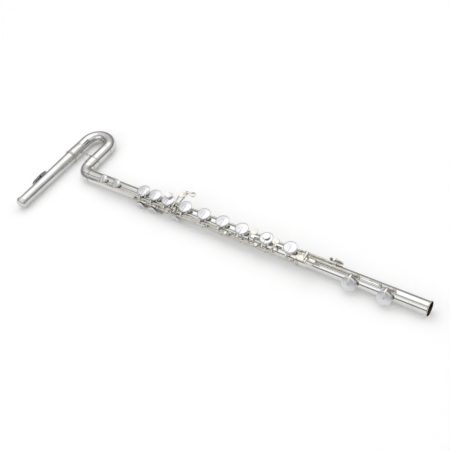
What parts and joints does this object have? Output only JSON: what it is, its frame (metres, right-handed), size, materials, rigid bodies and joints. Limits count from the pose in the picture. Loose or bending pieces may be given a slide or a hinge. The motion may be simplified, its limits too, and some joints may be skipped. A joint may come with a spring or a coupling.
{
  "type": "bass flute",
  "caption": "Bass flute with an upright curved head: body, foot and head tubes, sprung padded keys on steel rods, and a lip plate over the mouth hole.",
  "frame": {"origin": "centre of the foot's open end, on the axis of the bore", "axes": "+X out of the foot along the bore, +Z the way the main keys face, +Y from the player's side towards the U-bend's side"},
  "size_m": [0.9648, 0.2921, 0.0512],
  "materials": {
    "silver_plate": "polished silver plate",
    "cup_silver": "silver plate, satin from fine buffing",
    "steel": "drawn and blued spring and rod steel",
    "pad_felt": "woven felt under thin skin",
    "cork": "pressed natural cork"
  },
  "bodies": {
    "body": {"body_tube": "silver_plate", "elbow": "silver_plate", "elbow_rings": "silver_plate", "body_posts": "silver_plate", "body_ribs": "silver_plate", "hinge_rods": "steel", "needle_springs": "steel", "bumper_corks": "cork"},
    "curved_head": {"return_tube": "silver_plate", "u_bend": "silver_plate", "receiver": "silver_plate", "receiver_ring": "silver_plate", "bend_band": "silver_plate", "brace": "silver_plate"},
    "head_joint": {"head_tube": "silver_plate", "riser": "silver_plate", "lip_plate": "silver_plate", "stopper_cork": "cork", "reflector_plates": "silver_plate", "stopper_screw": "steel"},
    "crown": {"crown": "silver_plate"},
    "foot_joint": {"foot_tube": "silver_plate", "foot_rings": "silver_plate", "foot_posts": "silver_plate", "foot_rod": "steel", "foot_springs": "steel"},
    "c_key": {"c_key": "cup_silver", "c_pad": "pad_felt"},
    "cs_key": {"cs_key": "cup_silver", "cs_pad": "pad_felt"},
    "ds_key": {"ds_key": "cup_silver", "ds_pad": "pad_felt"},
    "foot_roller": {"foot_roller": "cup_silver"},
    "d_key": {"d_key": "cup_silver", "d_pad": "pad_felt"},
    "e_key": {"e_key": "cup_silver", "e_pad": "pad_felt"},
    "f_key": {"f_key": "cup_silver", "f_pad": "pad_felt"},
    "fs_key": {"fs_key": "cup_silver", "fs_pad": "pad_felt"},
    "g_key": {"g_key": "cup_silver", "g_pads": "pad_felt"},
    "gs_key": {"gs_key": "cup_silver", "gs_pad": "pad_felt"},
    "a_key": {"a_key": "cup_silver", "a_pad": "pad_felt"},
    "bb_key": {"bb_key": "cup_silver", "bb_pad": "pad_felt"},
    "c2_key": {"c2_key": "cup_silver", "c2_pad": "pad_felt"},
    "b_thumb_key": {"b_thumb_key": "cup_silver", "b_thumb_pad": "pad_felt"},
    "bb_thumb_key": {"bb_thumb_key": "cup_silver", "bb_thumb_pad": "pad_felt"},
    "d_trill_key": {"d_trill_key": "cup_silver", "d_trill_pad": "pad_felt"},
    "ds_trill_key": {"ds_trill_key": "cup_silver", "ds_trill_pad": "pad_felt"}
  },
  "joints": [
    {"name": "tuning_slide", "type": "slide", "parent": "body", "child": "curved_head", "axis": [0, 1, 0], "range_m": [0, 0.012]},
    {"name": "head_turn", "type": "hinge", "parent": "curved_head", "child": "head_joint", "pos_m": [-0.944, 0.04, 0], "axis": [0, 1, 0], "range_deg": [-20, 20]},
    {"name": "crown_turn", "type": "hinge", "parent": "head_joint", "child": "crown", "pos_m": [-0.944, -0.144, 0], "axis": [0, -1, 0], "continuous": true},
    {"name": "foot_turn", "type": "hinge", "parent": "body", "child": "foot_joint", "pos_m": [-0.27, 0, 0], "axis": [1, 0, 0], "range_deg": [-8, 8]},
    {"name": "c_press", "type": "hinge", "parent": "foot_joint", "child": "c_key", "pos_m": [-0.16, -0.00426, 0.02005], "axis": [1, 0, 0], "range_deg": [0, 7], "stiffness_Nm_per_rad": 0.05, "springref_deg": -20.05},
    {"name": "cs_press", "type": "hinge", "parent": "foot_joint", "child": "cs_key", "pos_m": [-0.2, -0.00426, 0.02005], "axis": [1, 0, 0], "range_deg": [0, 7], "stiffness_Nm_per_rad": 0.04, "springref_deg": -20.05},
    {"name": "ds_press", "type": "hinge", "parent": "foot_joint", "child": "ds_key", "pos_m": [-0.23, 0.00391, 0.02012], "axis": [1, 0, 0], "range_deg": [0, 7], "stiffness_Nm_per_rad": 0.05, "springref_deg": -20.05},
    {"name": "d_press", "type": "hinge", "parent": "body", "child": "d_key", "pos_m": [-0.318, -0.0201, 0.00895], "axis": [-1, 0, 0], "range_deg": [0, 6], "stiffness_Nm_per_rad": 0.05, "springref_deg": -20.05},
    {"name": "e_press", "type": "hinge", "parent": "body", "child": "e_key", "pos_m": [-0.358, -0.0201, 0.00895], "axis": [-1, 0, 0], "range_deg": [0, 6], "stiffness_Nm_per_rad": 0.05, "springref_deg": -20.05},
    {"name": "f_press", "type": "hinge", "parent": "body", "child": "f_key", "pos_m": [-0.409, -0.0201, 0.00895], "axis": [-1, 0, 0], "range_deg": [0, 6], "stiffness_Nm_per_rad": 0.05, "springref_deg": -20.05},
    {"name": "fs_press", "type": "hinge", "parent": "body", "child": "fs_key", "pos_m": [-0.472, -0.0201, 0.00895], "axis": [-1, 0, 0], "range_deg": [0, 6], "stiffness_Nm_per_rad": 0.04, "springref_deg": -20.05},
    {"name": "g_press", "type": "hinge", "parent": "body", "child": "g_key", "pos_m": [-0.543, -0.0201, 0.00895], "axis": [-1, 0, 0], "range_deg": [0, 6], "stiffness_Nm_per_rad": 0.08, "springref_deg": -20.05},
    {"name": "gs_press", "type": "hinge", "parent": "body", "child": "gs_key", "pos_m": [-0.587, -0.0201, 0.00895], "axis": [-1, 0, 0], "range_deg": [0, 7], "stiffness_Nm_per_rad": 0.05, "springref_deg": -20.05},
    {"name": "a_press", "type": "hinge", "parent": "body", "child": "a_key", "pos_m": [-0.616, -0.0201, 0.00895], "axis": [-1, 0, 0], "range_deg": [0, 6], "stiffness_Nm_per_rad": 0.05, "springref_deg": -20.05},
    {"name": "bb_press", "type": "hinge", "parent": "body", "child": "bb_key", "pos_m": [-0.65, -0.0201, 0.00895], "axis": [-1, 0, 0], "range_deg": [0, 6], "stiffness_Nm_per_rad": 0.04, "springref_deg": -20.05},
    {"name": "c2_press", "type": "hinge", "parent": "body", "child": "c2_key", "pos_m": [-0.681, -0.0201, 0.00895], "axis": [-1, 0, 0], "range_deg": [0, 6], "stiffness_Nm_per_rad": 0.04, "springref_deg": -20.05},
    {"name": "b_thumb_press", "type": "hinge", "parent": "body", "child": "b_thumb_key", "pos_m": [-0.684, -0.01301, -0.01445], "axis": [-1, 0, 0], "range_deg": [0, 6], "stiffness_Nm_per_rad": 0.03, "springref_deg": -20.05},
    {"name": "bb_thumb_press", "type": "hinge", "parent": "body", "child": "bb_thumb_key", "pos_m": [-0.65, -0.01301, -0.01445], "axis": [-1, 0, 0], "range_deg": [0, 6], "stiffness_Nm_per_rad": 0.03, "springref_deg": -20.05},
    {"name": "d_trill_press", "type": "hinge", "parent": "body", "child": "d_trill_key", "pos_m": [-0.6, -0.01558, 0.0134], "axis": [1, 0, 0], "range_deg": [0, 7], "stiffness_Nm_per_rad": 0.04, "springref_deg": -20.05},
    {"name": "ds_trill_press", "type": "hinge", "parent": "body", "child": "ds_trill_key", "pos_m": [-0.59, -0.01558, 0.0134], "axis": [1, 0, 0], "range_deg": [0, 7], "stiffness_Nm_per_rad": 0.04, "springref_deg": -20.05},
    {"name": "roller_spin", "type": "hinge", "parent": "c_key", "child": "foot_roller", "pos_m": [-0.246, -0.0225, 0.0233], "axis": [1, 0, 0], "continuous": true}
  ],
  "couplings": [
    {"joint": "bb_press", "follows": "a_press", "ratio": 1},
    {"joint": "fs_press", "follows": "f_press", "ratio": 1}
  ]
}
